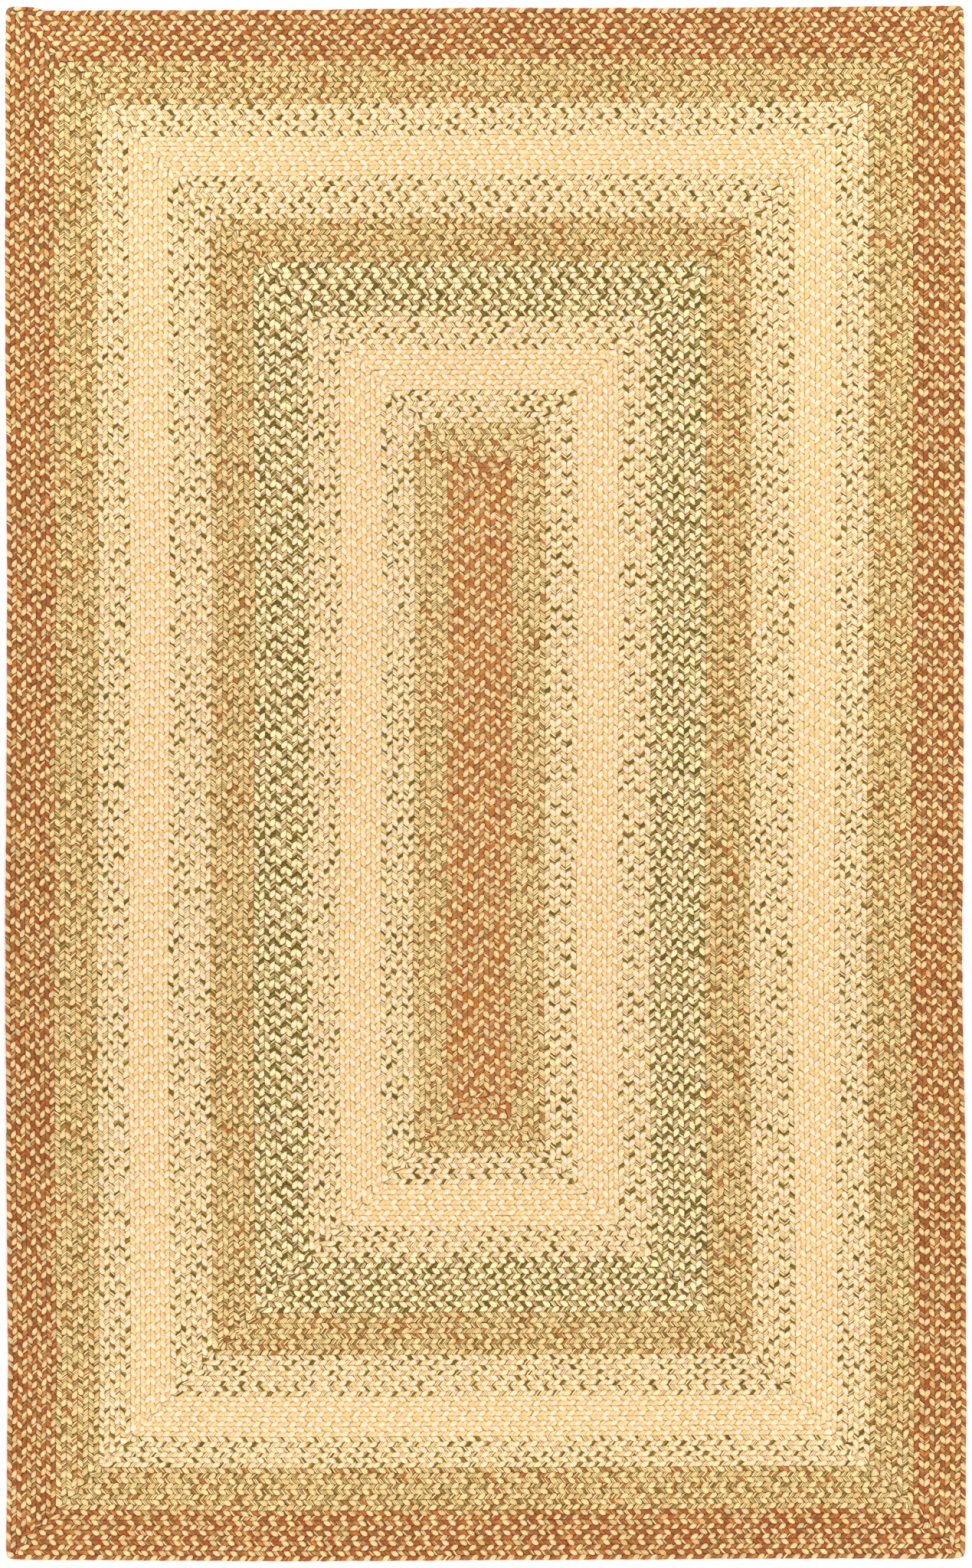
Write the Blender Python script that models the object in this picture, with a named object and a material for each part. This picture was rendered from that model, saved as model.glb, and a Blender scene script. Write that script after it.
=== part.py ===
# Braided rug: one long three-strand braid, wound clockwise in a rectangular spiral, with each
# round laced to the one before. Each colour run of the braid is a solid of its own, with a flat
# underside and a rib for each round. Metres, +Z up, the rug's length along Y, its underside at Z = 0.

import bmesh
import bpy
import numpy as np

MM = 0.001

THICKNESS = 10.0 * MM  # at the crown of a braid
SEAM_DEPTH = 2.6 * MM  # of the groove where two rounds meet
CROWN = (0.22, 0.76)  # where the crown starts and ends, as shares of a braid's width
RIM_TOP = 6.5 * MM  # the outermost braid's side is upright between these two heights
RIM_FOOT = 2.4 * MM
RIM_ROUND = 2.4 * MM  # how far the underside stays in from that side
GAP = 0.3 * MM  # between neighbouring colour runs

SPINE_LENGTH = 961.5 * MM  # of the middle seam, about which the first round folds
SPINE_TOP = 482.8 * MM
SPINE_X = -8.5 * MM
TAIL_WIDTH = 7.6 * MM  # of the last end, which tapers along the rug's top edge
CORNER_CUT = 12.0 * MM  # how far the outer corners are rounded off

RUST = (0.36, 0.13, 0.05, 1.0)
OLIVE = (0.25, 0.19, 0.07, 1.0)
CREAM = (0.72, 0.64, 0.42, 1.0)
GOLD = (0.69, 0.53, 0.22, 1.0)
GREEN = (0.30, 0.29, 0.14, 1.0)

# Name, number of rounds, the width in mm of one round at the left, right, top and bottom, colour.
RUNS = (
    ("centre_rust", 3, (16.8, 16.7, 17.0, 17.0), RUST),
    ("inner_olive", 3, (17.5, 17.7, 17.7, 17.5), OLIVE),
    ("inner_cream", 3, (17.3, 17.1, 17.5, 16.8), CREAM),
    ("inner_gold", 4, (16.1, 16.1, 15.9, 16.4), GOLD),
    ("second_cream", 3, (17.0, 17.1, 17.5, 16.5), CREAM),
    ("green", 5, (17.0, 17.4, 17.3, 17.4), GREEN),
    ("middle_olive", 4, (17.0, 17.6, 17.2, 16.7), OLIVE),
    ("third_cream", 4, (16.7, 17.0, 17.1, 16.4), CREAM),
    ("outer_gold", 4, (15.6, 16.5, 15.6, 15.9), GOLD),
    ("outer_cream", 3, (16.5, 17.1, 17.1, 16.4), CREAM),
    ("outer_olive", 4, (17.0, 17.4, 17.2, 16.8), OLIVE),
    ("border_rust", 5, (15.7, 16.6, 16.5, 16.0), RUST),
)

# How the laid rug strays from straight, in mm. Along Y: the sway of the whole width, and how
# far the right side spreads as well. Along X: how far the top and the bottom edges lift in +Y.
HALF_WIDTH = 757.0
HALF_LENGTH = 1227.0
ALONG_Y = (-1227.0, -921.0, -614.0, -307.0, 0.0, 307.0, 614.0, 921.0, 1227.0)
SWAY = (0.0, 2.7, 0.4, -1.6, 0.0, 1.7, -1.0, -1.8, -1.2)
SPREAD = (3.0, 1.9, 3.0, -0.4, 0.0, -0.7, 3.4, 4.8, 2.4)
ALONG_X = (-757.0, -378.0, 0.0, 378.0, 757.0)
TOP_LIFT = (-4.0, -3.5, 0.0, 0.0, 4.0)
BOTTOM_LIFT = (1.5, -1.5, 0.0, 2.5, 3.0)

# Places along each side of a round where the solid has points, as shares of that side.
TAIL_SHARE = 0.04
TOP_STEPS = (TAIL_SHARE, 0.27, 0.5, 0.75)
BOTTOM_STEPS = (0.25, 0.5, 0.75)
SIDE_STEPS = (0.125, 0.25, 0.375, 0.5, 0.625, 0.75, 0.875)
FIRST_RIGHT = len(TOP_STEPS) + 2  # the station in the top right corner's bend


def seam_reaches():
    """Left X, right X, top Y and bottom Y of every seam, from the spine out to the tail."""
    spine_bottom = SPINE_TOP - SPINE_LENGTH
    reaches = [np.array((SPINE_X, SPINE_X, SPINE_TOP, spine_bottom))]
    outward = np.array((-1.0, 1.0, 1.0, -1.0)) * MM
    for _, rounds, widths, _ in RUNS:
        for _ in range(rounds):
            reaches.append(reaches[-1] + outward * widths)
    # The first braid starts beside the spine, so the top has one row fewer.
    for reach in reaches[1:]:
        reach[2] -= RUNS[0][2][2] * MM
    reaches.append(reaches[-1] + np.array((0.0, 0.0, TAIL_WIDTH, 0.0)))
    return reaches


REACHES = seam_reaches()
LAST_SEAM = len(REACHES) - 2


def laid(x, y):
    """Where a point of the straight plan lies on the floor."""
    x_mm, y_mm = x / MM, y / MM
    right = max(x_mm / HALF_WIDTH, 0.0)
    top, bottom = max(y_mm / HALF_LENGTH, 0.0), max(-y_mm / HALF_LENGTH, 0.0)
    dx = np.interp(y_mm, ALONG_Y, SWAY) + right * np.interp(y_mm, ALONG_Y, SPREAD)
    dy = top * np.interp(x_mm, ALONG_X, TOP_LIFT) + bottom * np.interp(x_mm, ALONG_X, BOTTOM_LIFT)
    return x + dx * MM, y + dy * MM


def bend(corner, before, after, cut):
    """Three points that round a corner off, or the corner three times if nothing is cut."""
    corner = np.array(corner)
    entry, leave = np.array(before) * cut, np.array(after) * cut
    return [corner - entry, corner + 0.29 * (leave - entry), corner + leave]


def stretch(start, end, steps):
    start, end = np.array(start), np.array(end)
    return [start + step * (end - start) for step in steps]


def seam(number, out=0.0):
    """Laid points of one seam, clockwise from the corner where it starts. A positive out
    widens its loop and moves its diagonal step out too."""
    left, right, top, bottom = REACHES[number] + out * np.array((-1.0, 1.0, 1.0, -1.0))
    start = (REACHES[max(number - 1, 0)][0] + 0.414 * out, top)
    end = (left, REACHES[number + 1][2] + 2.414 * out)
    cut = CORNER_CUT if number == LAST_SEAM else 0.0
    points = [np.array(start), *stretch(start, (right, top), TOP_STEPS)]
    points += bend((right, top), (1, 0), (0, -1), cut)
    points += stretch((right, top), (right, bottom), SIDE_STEPS)
    points += bend((right, bottom), (0, -1), (-1, 0), cut)
    points += stretch((right, bottom), (left, bottom), BOTTOM_STEPS)
    points += bend((left, bottom), (-1, 0), (0, 1), cut)
    points += stretch((left, bottom), end, SIDE_STEPS)
    points += bend(end, (0, 1), (1, 0), cut)[:2]
    return [laid(x, y) for x, y in points]


def across(inner, outer, outer_height):
    """The four points of a braid's section, from its inner seam to its outer one."""
    inner, outer = np.array(inner), np.array(outer)
    crown = [inner + share * (outer - inner) for share in CROWN]
    groove = THICKNESS - SEAM_DEPTH
    heights = (groove, THICKNESS, THICKNESS, outer_height)
    return [(*point, height) for point, height in zip((inner, *crown, outer), heights)]


def strip(near, far):
    """Faces between two lines of as many points each."""
    return [
        (near[here], near[here + 1], far[here + 1], far[here]) for here in range(len(near) - 1)
    ]


def at_height(points, height):
    return [(x, y, height) for x, y in points]


def outer_heights(number, count):
    """How high a round's outer seam is at each station: the last one starts under the tail."""
    groove = THICKNESS - SEAM_DEPTH
    if number < LAST_SEAM:
        return [groove] * count
    return [groove] + [RIM_TOP] * (count - 1)


def run_lines(first, last):
    """The seams of one run, with the two that face its neighbours moved in by half the gap."""
    inner = seam(first - 1, GAP / 2) if first > 1 else seam(0)
    outer = seam(last) if last == LAST_SEAM else seam(last, -GAP / 2)
    lines = [inner, *[seam(number) for number in range(first, last)], outer]
    if first > 1:
        lines[1][0] = inner[-1]
    if last < LAST_SEAM:
        lines[-2][-1] = outer[0]
    return lines


def top_faces(lines, first, last):
    faces = []
    for number in range(first, last + 1):
        inner, outer = lines[number - first], lines[number - first + 1]
        heights = outer_heights(number, len(inner))
        sections = [across(*ends) for ends in zip(inner, outer, heights)]
        for here in range(FIRST_RIGHT if number == 1 else 0, len(sections) - 1):
            faces += strip(sections[here], sections[here + 1])
    return faces


def first_end(lines):
    """The upright end of the first braid, under the second round's top row."""
    groove = THICKNESS - SEAM_DEPTH
    edge = at_height(lines[1][: FIRST_RIGHT + 1], groove)
    section = across(lines[0][FIRST_RIGHT], lines[1][FIRST_RIGHT], groove)
    return [edge + [section[2], section[1]]]


def tail_faces(lines):
    """The tapering end of the braid, from the corner to a point on the rug's top edge."""
    section = across(lines[-2][-1], lines[-1][-1], RIM_TOP)
    tip = (*lines[-1][1], RIM_TOP)
    return [(start, end, tip) for start, end in zip(section, section[1:])]


def wall(line, heights):
    return strip(at_height(line, heights[0]), at_height(line, heights[1]))


def end_wall(inner, outer):
    """The upright face across a braid where a neighbouring run goes on."""
    section = across(inner, outer, THICKNESS - SEAM_DEPTH)
    return [section + [(*outer, 0.0), (*inner, 0.0)]]


def drawn_in(line):
    """The rim's line moved towards the rug's middle, for the foot of its rounded side."""
    middle = np.array((SPINE_X, 0.0))
    moved = []
    for point in line:
        away = np.abs(np.array(point) - middle)
        scale = 1.0 - RIM_ROUND / np.array((HALF_WIDTH, HALF_LENGTH)) / MM * (away > 0)
        moved.append(tuple(middle + scale * (np.array(point) - middle)))
    return moved


def underside(inner, outer, step):
    """Flat faces from the inner loop to the outer one. Both loops step out at the same corner,
    where the first and last faces share an edge."""
    first = [inner[0], inner[1], outer[1], step[0], inner[-1]]
    last = [inner[-2], inner[-1], *step, outer[-2]]
    faces = [first, last]
    for here in range(1, len(inner) - 2):
        faces.append([inner[here], inner[here + 1], outer[here + 1], outer[here]])
    return [at_height(face, 0.0) for face in faces]


def run_faces(first, last):
    lines = run_lines(first, last)
    groove = THICKNESS - SEAM_DEPTH
    inner, outer = lines[0], lines[-1]
    faces = top_faces(lines, first, last)
    if first == 1:
        faces += first_end(lines)
    else:
        faces += wall(inner, (groove, 0.0)) + end_wall(inner[0], inner[-1])
    if last < LAST_SEAM:
        faces += wall(outer, (groove, 0.0)) + end_wall(outer[0], outer[-1])
        return faces + underside(inner, outer, [outer[0], outer[-1]])
    faces += tail_faces(lines)
    rim = [outer[-1], *outer[1:]]
    foot = drawn_in(rim)
    faces += wall(rim, (RIM_TOP, RIM_FOOT))
    faces += strip(at_height(rim, RIM_FOOT), at_height(foot, 0.0))
    return faces + underside(inner, foot, [foot[0]])


def centre_of(points):
    """The middle of the box round the points, in X and Y."""
    flat = np.array([point[:2] for point in points])
    return (flat.min(axis=0) + flat.max(axis=0)) / 2


def material(name, colour):
    made = bpy.data.materials.new(name)
    made.diffuse_color = colour
    made.use_nodes = True
    shader = made.node_tree.nodes["Principled BSDF"]
    shader.inputs["Base Color"].default_value = colour
    shader.inputs["Roughness"].default_value = 0.95
    return made


def solid(name, faces, shift, colour):
    work = bmesh.new()
    for face in faces:
        work.faces.new([work.verts.new((x - shift[0], y - shift[1], z)) for x, y, z in face])
    bmesh.ops.remove_doubles(work, verts=work.verts, dist=0.002 * MM)
    bmesh.ops.recalc_face_normals(work, faces=work.faces)
    mesh = bpy.data.meshes.new(name)
    work.to_mesh(mesh)
    work.free()
    mesh.materials.append(material(name, colour))
    made = bpy.data.objects.new(name, mesh)
    bpy.context.scene.collection.objects.link(made)
    return made


def build():
    for old in list(bpy.data.objects):
        bpy.data.objects.remove(old, do_unlink=True)
    shift = centre_of(seam(LAST_SEAM))
    last = 0
    for name, rounds, _, colour in RUNS:
        first, last = last + 1, last + rounds
        solid(name, run_faces(first, last), shift, colour)


build()
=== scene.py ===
import math

import bpy
import numpy as np
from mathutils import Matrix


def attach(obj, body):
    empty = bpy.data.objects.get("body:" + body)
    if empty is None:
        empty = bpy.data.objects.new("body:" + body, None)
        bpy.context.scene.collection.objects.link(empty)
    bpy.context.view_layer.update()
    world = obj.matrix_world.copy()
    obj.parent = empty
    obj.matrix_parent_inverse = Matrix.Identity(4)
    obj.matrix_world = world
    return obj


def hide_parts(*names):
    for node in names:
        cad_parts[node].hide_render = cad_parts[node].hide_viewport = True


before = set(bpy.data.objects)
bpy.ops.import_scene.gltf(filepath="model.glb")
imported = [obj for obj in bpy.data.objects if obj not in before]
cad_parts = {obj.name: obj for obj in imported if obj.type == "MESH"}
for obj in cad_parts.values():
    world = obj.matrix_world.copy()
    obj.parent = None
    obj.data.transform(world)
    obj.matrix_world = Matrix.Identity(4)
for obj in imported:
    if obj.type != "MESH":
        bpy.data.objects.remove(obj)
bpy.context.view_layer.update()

mm = 0.001
print("frame loaded,", len(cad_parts), "colour runs")


# How the braid is wound, in mm.
rugPlan = {
    "flatSize": (1514.0, 2456.0),
    "boxMiddle": (1.455, 1.239),  # of the laid rug, which is brought to the origin
    "spineTop": 482.8,
    "spineLength": 961.5,
    "spineX": -8.5,
    "outerCut": 12.0,  # rounding of the rug's own corners
    "innerCut": 9.0,  # of the rounds inside them
    "firstCut": 0.01,  # and inside the first round, which is folded tight
    "turnZone": 16.5,  # how far before a corner the leaves start to fan out
    "firstTurnZone": 8.3,
    "turnShares": (-1.0, -0.75, -0.5, -0.25, -0.1, 0.1, 0.25, 0.5, 0.75, 1.0),
    "stationEvery": 60.0,
    "tailWidth": 6.2,
    "tailLength": 58.0,
    "tailReaches": (36.0, 41.0, 46.0, 50.0, 54.0, 57.0),
    "tuckPace": 4.0,  # how soon in its last turn the tail's inner leaves are tucked away
    "tucked": 2.0,  # the bend that marks them, and the least that counts as that mark
    "tuckedFrom": 1.2,
}

# Each colour run from the middle out: its rounds, and the width of one round on each side, in mm.
runColumns = ("name", "rounds", "left", "right", "top", "bottom", "yarn")
runTable = (
    ("centre_rust", 3, 16.8, 16.7, 17.0, 17.0, "brightRust"),
    ("inner_olive", 3, 17.5, 17.7, 17.7, 17.5, "brightOlive"),
    ("inner_cream", 3, 17.3, 17.1, 17.5, 16.8, "cream"),
    ("inner_gold", 4, 16.1, 16.1, 15.9, 16.4, "gold"),
    ("second_cream", 3, 17.0, 17.1, 17.5, 16.5, "cream"),
    ("green", 5, 17.0, 17.4, 17.3, 17.4, "green"),
    ("middle_olive", 4, 17.0, 17.6, 17.2, 16.7, "olive"),
    ("third_cream", 4, 16.7, 17.0, 17.1, 16.4, "cream"),
    ("outer_gold", 4, 15.6, 16.5, 15.6, 15.9, "gold"),
    ("outer_cream", 3, 16.5, 17.1, 17.1, 16.4, "cream"),
    ("outer_olive", 4, 17.0, 17.4, 17.2, 16.8, "olive"),
    ("border_rust", 5, 15.35, 16.3, 16.05, 15.9, "rust"),
)
runs = [dict(zip(runColumns, row)) for row in runTable]
rounds = [(run, count) for run in runs for count in range(1, run["rounds"] + 1)]
lastRound = len(rounds)

# How the laid rug strays from straight, in mm: the sway of the whole width and the spread of
# the right side along Y, and the lift of the top and bottom edges along X.
stray = {
    "halfWidth": 757.0,
    "halfLength": 1227.0,
    "alongY": (-1227, -921, -614, -307, 0, 307, 614, 921, 1227),
    "sway": (0.0, 2.7, 0.4, -1.6, 0.0, 1.7, -1.0, -1.8, -1.2),
    "spread": (3.0, 1.9, 3.0, -0.4, 0.0, -0.7, 3.4, 4.8, 2.4),
    "alongX": (-757, -378, 0, 378, 757),
    "topLift": (-4.0, -3.5, 0.0, 0.0, 4.0),
    "bottomLift": (1.5, -1.5, 0.0, 2.5, 3.0),
    "rowWave": 0.5,  # how far a single row wanders
    "wavesAlongY": (47, 83, 117, 59),  # and how slowly
    "wavesAlongX": (43, 91, 109, 61),
}

# The way along the top, right, bottom and left sides, clockwise as the braid is wound.
alongSide = [np.array(way) for way in ((1.0, 0.0), (0.0, -1.0), (-1.0, 0.0), (0.0, 1.0))]


def findSeams():  # left X, right X, top Y and bottom Y of every seam, spine first
    top, left = rugPlan["spineTop"], rugPlan["spineX"]
    found = [np.array((left, left, top, top - rugPlan["spineLength"]))]
    for run, _ in rounds:
        step = np.array((-run["left"], run["right"], run["top"], -run["bottom"]))
        found.append(found[-1] + step)
    for seam in found[1:]:  # the first braid starts beside the spine
        seam[2] -= runs[0]["top"]
    found.append(found[-1] + np.array((0.0, 0.0, rugPlan["tailWidth"], 0.0)))
    return found


seams = findSeams()


def rowWander(along, across, waves):  # how far sideways a row lies there, in mm
    slowly = math.sin(along / waves[2] + across / waves[3])
    return stray["rowWave"] * math.sin(along / waves[0] + 2 * math.sin(across / waves[1])) * slowly


def laid(point):  # a point of the straight plan as it lies on the floor, in metres
    x, y = point
    right = max(x / stray["halfWidth"], 0.0)
    top, bottom = max(y / stray["halfLength"], 0.0), max(-y / stray["halfLength"], 0.0)
    dx = np.interp(y, stray["alongY"], stray["sway"])
    dx += right * np.interp(y, stray["alongY"], stray["spread"])
    dy = top * np.interp(x, stray["alongX"], stray["topLift"])
    dy += bottom * np.interp(x, stray["alongX"], stray["bottomLift"])
    dx += rowWander(y, x, stray["wavesAlongY"])
    dy += rowWander(x, y, stray["wavesAlongX"])
    middle = rugPlan["boxMiddle"]
    return np.array((x + dx - middle[0], y + dy - middle[1])) * mm


def turnsOf(number):  # the inner and outer point at each turn of a round, clockwise
    inner, outer, after = seams[number - 1 : number + 2]
    before = seams[max(number - 2, 0)]
    return (
        ((before[0], inner[2]), (inner[0], outer[2])),
        ((inner[1], inner[2]), (outer[1], outer[2])),
        ((inner[1], inner[3]), (outer[1], outer[3])),
        ((inner[0], inner[3]), (outer[0], outer[3])),
        ((inner[0], outer[2]), (outer[0], after[2])),
    )


def roundedTurn(corner, before, after, walked, cut):  # the point that far past a corner
    if abs(walked) >= cut:
        return corner + (before if walked < 0 else after) * walked
    share = (walked + cut) / (2 * cut)
    start, end = corner - before * cut, corner + after * cut
    return start * (1 - share) ** 2 + corner * 2 * share * (1 - share) + end * share**2


# A station is the braid's inner point, its outer point, how sharply it turns there, and how
# far along the braid it counts, measured from the middle of its turn where it has one.
def turnStations(number, turn):
    near, far = (np.array(point) for point in turnsOf(number)[turn])
    before, after = alongSide[(turn - 1) % 4], alongSide[turn % 4]
    if number == 1 and turn == 1:  # the braid's first end is cut straight
        return [(near, far, 0.0, None)]
    onEdge = number == lastRound and turn > 0
    toTail = number == lastRound and turn == 4
    farCut = rugPlan["outerCut"] if onEdge else rugPlan["innerCut"]
    nearCut = rugPlan["firstCut"] if number == 1 else rugPlan["innerCut"]
    zone = rugPlan["firstTurnZone"] if number == 1 else rugPlan["turnZone"]
    found = []
    for share in rugPlan["turnShares"]:
        offset = (far - near) @ (before if share < 0 else -after) / 2
        nearPoint = roundedTurn(near, before, after, share * (zone - offset), nearCut)
        farPoint = roundedTurn(far, before, after, share * (zone + offset), farCut)
        bend = 1 - abs(share)
        if toTail and share > 0:
            bend = rugPlan["tucked"]
            tuckedShare = min(rugPlan["tuckPace"] * share, 1.0)
            nearPoint = nearPoint - before * rugPlan["tailWidth"] * tuckedShare
        found.append((nearPoint, farPoint, bend, share * zone))
    return found


def sideStations(number, side):  # those between the turns at its two ends
    (nearStart, farStart), (nearEnd, farEnd) = (
        [np.array(point) for point in turn] for turn in turnsOf(number)[side : side + 2]
    )
    along = alongSide[side]
    out = np.array((-along[1], along[0]))
    start, end = (nearStart + farStart) / 2, (nearEnd + farEnd) / 2
    half = abs((farEnd - nearEnd) @ out) / 2
    zone = rugPlan["turnZone"]
    length = (end - start) @ along - 2 * zone
    steps = max(math.ceil(length / rugPlan["stationEvery"]), 0)
    found = []
    for step in range(1, steps):
        middle = start + along * (zone + length * step / steps)
        found.append((middle - half * out, middle + half * out, 0.0, None))
    return found


def tailStations():  # only the tail's outer leaves show, beside the row that it lies on
    (_, level), (start, _) = turnsOf(lastRound)[4]
    found = []
    for reach in rugPlan["tailReaches"]:
        share = reach / rugPlan["tailLength"]
        width = rugPlan["tailWidth"] * math.sqrt(1 - share**3)
        near, far = (np.array((start + reach, level + way * width)) for way in (-1, 1))
        found.append((near, far, rugPlan["tucked"], None))
    return found


def roundStations(number):  # from one turn at the rug's top left to where the next one starts
    found = turnStations(1, 1) if number == 1 else turnStations(number, 0)
    for side in range(1 if number == 1 else 0, 4):
        found += sideStations(number, side) + turnStations(number, side + 1)
    return found if number == lastRound else found[: 1 - len(rugPlan["turnShares"])]


def placesAlong(stations):  # how far along the braid each station counts, in metres
    places = [0.0]
    for (near, far, _, last), (nextNear, nextFar, _, this) in zip(stations, stations[1:]):
        if None not in (last, this) and this > last:
            step = (this - last) * mm
        else:
            away = laid(nextNear) + laid(nextFar) - laid(near) - laid(far)
            step = float(np.linalg.norm(away)) / 2
        places.append(places[-1] + step)
    return places


def plainObject(name, data):
    made = bpy.data.objects.new(name, data)
    bpy.context.scene.collection.objects.link(made)
    return made


def linear(colour):  # from the 0 to 255 values of a screen
    parts = [value / 255 for value in colour]
    parts = [v / 12.92 if v <= 0.04045 else ((v + 0.055) / 1.055) ** 2.4 for v in parts]
    return (*parts, 1.0)


def addNode(tree, kind, inputs=None, **settings):
    made = tree.nodes.new(kind)
    for name, value in settings.items():
        setattr(made, name, value)
    for key, value in (inputs or {}).items():
        if isinstance(value, bpy.types.NodeSocket):
            tree.links.new(value, made.inputs[key])
        else:
            made.inputs[key].default_value = value
    return made


def mathNode(tree, operation, *values, clamp=False):
    inputs = dict(enumerate(values))
    made = addNode(tree, "ShaderNodeMath", inputs, operation=operation, use_clamp=clamp)
    return made.outputs[0]


def vectorNode(tree, operation, *values, output="Vector"):
    made = addNode(tree, "ShaderNodeVectorMath", dict(enumerate(values)), operation=operation)
    return made.outputs[output]


def scaled(tree, vector, factor):
    inputs = {0: vector, "Scale": factor}
    return addNode(tree, "ShaderNodeVectorMath", inputs, operation="SCALE").outputs[0]


def combined(tree, x, y, z):
    return addNode(tree, "ShaderNodeCombineXYZ", {0: x, 1: y, 2: z}).outputs[0]


def separated(tree, vector):
    return addNode(tree, "ShaderNodeSeparateXYZ", {0: vector}).outputs


# Along the braid, outwards from its middle line, and up, in mm. A leaf is what shows of a strand
# between two crossings. Its rim goes round clockwise from the tip that points forward at the seam.
leafShape = {
    "middle": (0.0, 4.2),
    "slant": 40.0,  # degrees between a strand and the straight way across
    "halfBraid": 8.4,
    "lowest": 0.2,
    "foot": (-0.2, 4.4, 0.4),
    "flatRim": (
        (7.4, 8.6, 6.2),
        (5.1, 4.9, 7.2),
        (2.0, 1.0, 5.6),
        (-2.9, -1.3, 5.2),
        (-6.9, 0.9, 5.6),
        (-4.5, 4.6, 7.0),
        (-1.0, 8.6, 6.2),
    ),
    "flatCrown": ((4.9, 7.1, 8.4), (0.2, 1.5, 8.7), (-4.9, 1.2, 8.4), (-0.8, 6.9, 8.4)),
    "fatRim": (
        (7.3, 8.7, 6.2),
        (6.2, 5.0, 7.3),
        (3.3, 0.6, 6.0),
        (-2.4, -1.9, 5.4),
        (-6.9, 0.3, 6.0),
        (-5.7, 4.8, 7.2),
        (-1.7, 8.6, 6.2),
    ),
    "fatCrown": ((4.9, 7.1, 9.0), (1.4, 1.1, 9.7), (-4.8, 0.9, 9.3), (-1.8, 6.5, 9.3)),
    "edgeHeel": ((4.4, 6.3, 0.9), (0.4, 1.7, 0.4), (-4.8, 1.3, 0.5), (-1.6, 6.0, 0.7)),
    "edgeTip": 4.9,  # how high the leaves' tips lie on the rug's own edge
    "contactShade": (1.0, 1.0, 1.35, 1.4, 1.35, 1.0, 1.0),  # how much painted shade there is at each rim point, where the leaves meet
    "looseContactShade": 0.3,  # and at its foot, and at its tips on the rug's own edge
    "cellAcross": (0.05, 0.9),  # start and span in its cell of the OFBake map
    "cellTop": (0.40, 0.56),
    "cellBelow": (0.04, 0.28),
}
# Points 0 to 6 are the rim and 7 to 10 the crown. The foot comes next, or the edge's heel.
leafTop = (
    (0, 1, 7),
    (1, 8, 7),
    (1, 2, 8),
    (2, 3, 8),
    (3, 9, 8),
    (3, 4, 9),
    (4, 5, 9),
    (5, 10, 9),
    (5, 6, 10),
    (6, 0, 10),
    (0, 7, 10),
    (7, 8, 9),
    (7, 9, 10),
)


def leafMesh(name, kind, side, onEdge=False):  # side is 1 outside the middle line, -1 inside
    rim, crown = leafShape[kind + "Rim"], leafShape[kind + "Crown"]
    rimCount, firstLow = len(rim), len(rim) + len(crown)
    tips = [0, rimCount - 1]
    if onEdge:  # as round below as above, since it shows from the side
        points = np.array((*rim, *crown, *leafShape["edgeHeel"]))
        points[tips, 2] = leafShape["edgeTip"]
        below = [[k if k < rimCount else k + len(crown) for k in face[::-1]] for face in leafTop]
    else:
        points = np.array((*rim, *crown, leafShape["foot"]))
        below = [((k + 1) % rimCount, k, firstLow) for k in range(rimCount)]
    away = points - np.array((*leafShape["middle"], 0.0))
    lean = math.radians(leafShape["slant"])
    along = away[:, 1] * math.cos(lean) + away[:, 0] * math.sin(lean)
    across = away[:, 0] * math.cos(lean) - away[:, 1] * math.sin(lean)
    # The third part of a point's place is how much painted shade it gets where the leaves meet.
    contactShade = np.zeros(len(points))
    contactShade[:rimCount] = leafShape["contactShade"]
    contactShade[[firstLow, *tips] if onEdge else firstLow] = leafShape["looseContactShade"]
    away[:, 1] *= side
    faces = [face if side > 0 else face[::-1] for face in (*leafTop, *below)]
    mesh = bpy.data.meshes.new(name)
    mesh.from_pydata([tuple(point * mm) for point in away], [], faces)
    mesh.polygons.foreach_set("use_smooth", [True] * len(faces))
    crease = mesh.attributes.new("sharp_edge", "BOOLEAN", "EDGE")
    crease.data.foreach_set("value", [max(edge.vertices) < rimCount for edge in mesh.edges])
    place = mesh.attributes.new("leafPlace", "FLOAT_VECTOR", "POINT")
    place.data.foreach_set("vector", np.column_stack((along, across, contactShade)).ravel())
    cell = mesh.uv_layers.new(name="OFBake")
    low, high = np.array((along.min(), across.min())), np.array((along.max(), across.max()))
    for index, polygon in enumerate(mesh.polygons):
        left, width = leafShape["cellAcross"]
        bottom, height = leafShape["cellTop" if index < len(leafTop) else "cellBelow"]
        for loop in polygon.loop_indices:
            vertex = mesh.loops[loop].vertex_index
            u, v = (np.array((along[vertex], across[vertex])) - low) / (high - low)
            cell.data[loop].uv = (left + width * u, bottom + height * v)
    return plainObject(name, mesh)


braidLook = {
    "pitch": 9.4,  # mm along the braid from one leaf to the next in its column
    "crowding": 0.5,  # mm that the two thinner strands' leaves are pushed together
    "wander": 0.35,  # mm that a leaf lies off its place
    "wanderShares": (1.0, 0.7, 1.0),  # of that along, across and up
    "twist": 4.0,  # degrees that it lies off its angle
    "cornerTwist": 7.0,
    "twistShares": (0.8, 0.8, 1.0),  # of that about the same three axes
    "cornerGrowth": 0.05,  # how much bigger the leaves of a turn are
    "fatLeaf": (1.0, 1.0, 1.0),  # size along, across and up of the three strands' leaves
    "evenLeaf": (1.03, 1.0, 1.0),
    "thinLeaf": (0.97, 1.0, 0.95),
    "smallest": (0.95, 0.98, 0.96),  # each leaf's own size lies between these
    "largest": (1.05, 1.04, 1.04),
    "seed": 7,
}

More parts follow.
